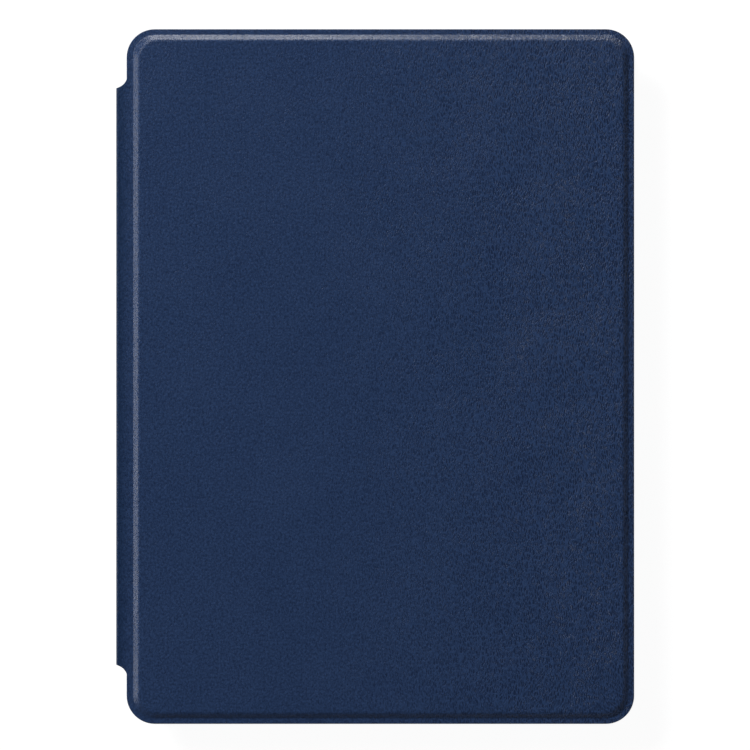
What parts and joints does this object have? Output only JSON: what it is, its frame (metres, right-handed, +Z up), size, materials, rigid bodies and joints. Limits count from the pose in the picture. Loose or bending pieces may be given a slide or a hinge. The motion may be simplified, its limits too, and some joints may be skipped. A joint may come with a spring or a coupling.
{
  "type": "tablet keyboard case",
  "caption": "Closed tablet folio with a raised leather panel, short spine, rigid tray, kickstand flap and a thin keyboard with touchpad inside.",
  "frame": {"origin": "centre of the back cover's footprint, on the face the closed case rests on", "axes": "+X away from the spine across the case, +Y along the spine, +Z up out of the front cover; opened, the keys read from +Y to -Y"},
  "size_m": [0.1924, 0.258, 0.02],
  "materials": {
    "leather": "fine embossed grain, satin",
    "microfibre": "brushed, matt",
    "board": "grey-brown greyboard",
    "tray_plastic": "soft-touch, fine spark texture",
    "frame_plastic": "flexible moulded frame, matt",
    "chassis_plastic": "fine spark texture",
    "keycap_plastic": "satin with a fine texture",
    "link_plastic": "satin moulded",
    "black_plastic": "satin",
    "steel": "brushed",
    "plated_steel": "nickel plated",
    "silicone": "translucent matt",
    "rubber": "matt",
    "film": "printed polyester film",
    "circuit_board": "solder mask",
    "battery_foil": "laminated foil",
    "wire": "insulated wire",
    "light_pipe": "clear",
    "touch_surface": "etched satin",
    "adhesive": "double-sided film"
  },
  "bodies": {
    "tray": {"tray_base": "tray_plastic", "tray_frame": "frame_plastic", "tray_lining": "microfibre", "tray_adhesive": "adhesive", "tray_magnets": "plated_steel", "back_skin": "leather", "back_board": "board", "back_lining": "microfibre", "strip_skin": "leather", "camera_trim": "black_plastic", "hinge_leaves": "steel", "hinge_pins": "steel", "hinge_screws": "plated_steel"},
    "spine": {"spine_skin": "leather", "spine_stiffener": "board", "spine_lining": "microfibre"},
    "front_cover": {"front_skin": "leather", "front_shell": "board", "front_lining": "microfibre", "front_magnets": "plated_steel", "keyboard_base": "chassis_plastic", "keyboard_deck": "chassis_plastic", "keyboard_screws": "plated_steel", "support_plate": "steel", "membrane": "film", "rubber_domes": "silicone", "scissor_links": "link_plastic", "main_board": "circuit_board", "battery_cells": "battery_foil", "battery_lead": "wire", "charging_socket": "steel", "status_lights": "light_pipe", "screen_bumpers": "rubber"},
    "kickstand": {"kickstand_skin": "leather", "kickstand_board": "board", "kickstand_lining": "microfibre", "kickstand_leaves": "steel", "kickstand_screws": "plated_steel", "kickstand_plates": "steel"},
    "touchpad": {"touchpad_plate": "touch_surface", "touchpad_board": "circuit_board"},
    "power_switch": {"power_switch": "black_plastic"},
    "escape_key": {"escape_key": "keycap_plastic"},
    "function_keys": {"function_keys": "keycap_plastic"},
    "number_keys": {"number_keys": "keycap_plastic"},
    "backspace_key": {"backspace_key": "keycap_plastic"},
    "tab_key": {"tab_key": "keycap_plastic"},
    "top_letter_keys": {"top_letter_keys": "keycap_plastic"},
    "caps_lock_key": {"caps_lock_key": "keycap_plastic"},
    "home_letter_keys": {"home_letter_keys": "keycap_plastic"},
    "return_key": {"return_key": "keycap_plastic"},
    "left_shift_key": {"left_shift_key": "keycap_plastic"},
    "bottom_letter_keys": {"bottom_letter_keys": "keycap_plastic"},
    "right_shift_key": {"right_shift_key": "keycap_plastic"},
    "modifier_keys": {"modifier_keys": "keycap_plastic"},
    "space_bar": {"space_bar": "keycap_plastic"},
    "arrow_left_key": {"arrow_left_key": "keycap_plastic"},
    "arrow_up_key": {"arrow_up_key": "keycap_plastic"},
    "arrow_down_key": {"arrow_down_key": "keycap_plastic"},
    "arrow_right_key": {"arrow_right_key": "keycap_plastic"}
  },
  "joints": [
    {"name": "back_crease_fold", "type": "hinge", "parent": "tray", "child": "spine", "pos_m": [-0.09775, 0, 0.0019], "axis": [0, -1, 0], "range_deg": [0, 90]},
    {"name": "cover_crease_fold", "type": "hinge", "parent": "spine", "child": "front_cover", "pos_m": [-0.09775, 0, 0.0181], "axis": [0, -1, 0], "range_deg": [0, 90]},
    {"name": "back_stand_swing", "type": "hinge", "parent": "tray", "child": "kickstand", "pos_m": [0.006, 0, 0.00175], "axis": [0, -1, 0], "range_deg": [0, 115]},
    {"name": "touchpad_click", "type": "hinge", "parent": "front_cover", "child": "touchpad", "pos_m": [0.021, 0, 0.01315], "axis": [0, -1, 0], "range_deg": [0, 0.4]},
    {"name": "power_switch_slide", "type": "slide", "parent": "front_cover", "child": "power_switch", "axis": [1, 0, 0], "range_m": [0, 0.002]},
    {"name": "press_escape_key", "type": "slide", "parent": "front_cover", "child": "escape_key", "axis": [0, 0, 1], "range_m": [0, 0.001]},
    {"name": "press_function_keys", "type": "slide", "parent": "front_cover", "child": "function_keys", "axis": [0, 0, 1], "range_m": [0, 0.001]},
    {"name": "press_number_keys", "type": "slide", "parent": "front_cover", "child": "number_keys", "axis": [0, 0, 1], "range_m": [0, 0.001]},
    {"name": "press_backspace_key", "type": "slide", "parent": "front_cover", "child": "backspace_key", "axis": [0, 0, 1], "range_m": [0, 0.001]},
    {"name": "press_tab_key", "type": "slide", "parent": "front_cover", "child": "tab_key", "axis": [0, 0, 1], "range_m": [0, 0.001]},
    {"name": "press_top_letter_keys", "type": "slide", "parent": "front_cover", "child": "top_letter_keys", "axis": [0, 0, 1], "range_m": [0, 0.001]},
    {"name": "press_caps_lock_key", "type": "slide", "parent": "front_cover", "child": "caps_lock_key", "axis": [0, 0, 1], "range_m": [0, 0.001]},
    {"name": "press_home_letter_keys", "type": "slide", "parent": "front_cover", "child": "home_letter_keys", "axis": [0, 0, 1], "range_m": [0, 0.001]},
    {"name": "press_return_key", "type": "slide", "parent": "front_cover", "child": "return_key", "axis": [0, 0, 1], "range_m": [0, 0.001]},
    {"name": "press_left_shift_key", "type": "slide", "parent": "front_cover", "child": "left_shift_key", "axis": [0, 0, 1], "range_m": [0, 0.001]},
    {"name": "press_bottom_letter_keys", "type": "slide", "parent": "front_cover", "child": "bottom_letter_keys", "axis": [0, 0, 1], "range_m": [0, 0.001]},
    {"name": "press_right_shift_key", "type": "slide", "parent": "front_cover", "child": "right_shift_key", "axis": [0, 0, 1], "range_m": [0, 0.001]},
    {"name": "press_modifier_keys", "type": "slide", "parent": "front_cover", "child": "modifier_keys", "axis": [0, 0, 1], "range_m": [0, 0.001]},
    {"name": "press_space_bar", "type": "slide", "parent": "front_cover", "child": "space_bar", "axis": [0, 0, 1], "range_m": [0, 0.001], "deforming": ["rubber_domes", "scissor_links"]},
    {"name": "press_arrow_left_key", "type": "slide", "parent": "front_cover", "child": "arrow_left_key", "axis": [0, 0, 1], "range_m": [0, 0.001]},
    {"name": "press_arrow_up_key", "type": "slide", "parent": "front_cover", "child": "arrow_up_key", "axis": [0, 0, 1], "range_m": [0, 0.001]},
    {"name": "press_arrow_down_key", "type": "slide", "parent": "front_cover", "child": "arrow_down_key", "axis": [0, 0, 1], "range_m": [0, 0.001]},
    {"name": "press_arrow_right_key", "type": "slide", "parent": "front_cover", "child": "arrow_right_key", "axis": [0, 0, 1], "range_m": [0, 0.001]}
  ]
}
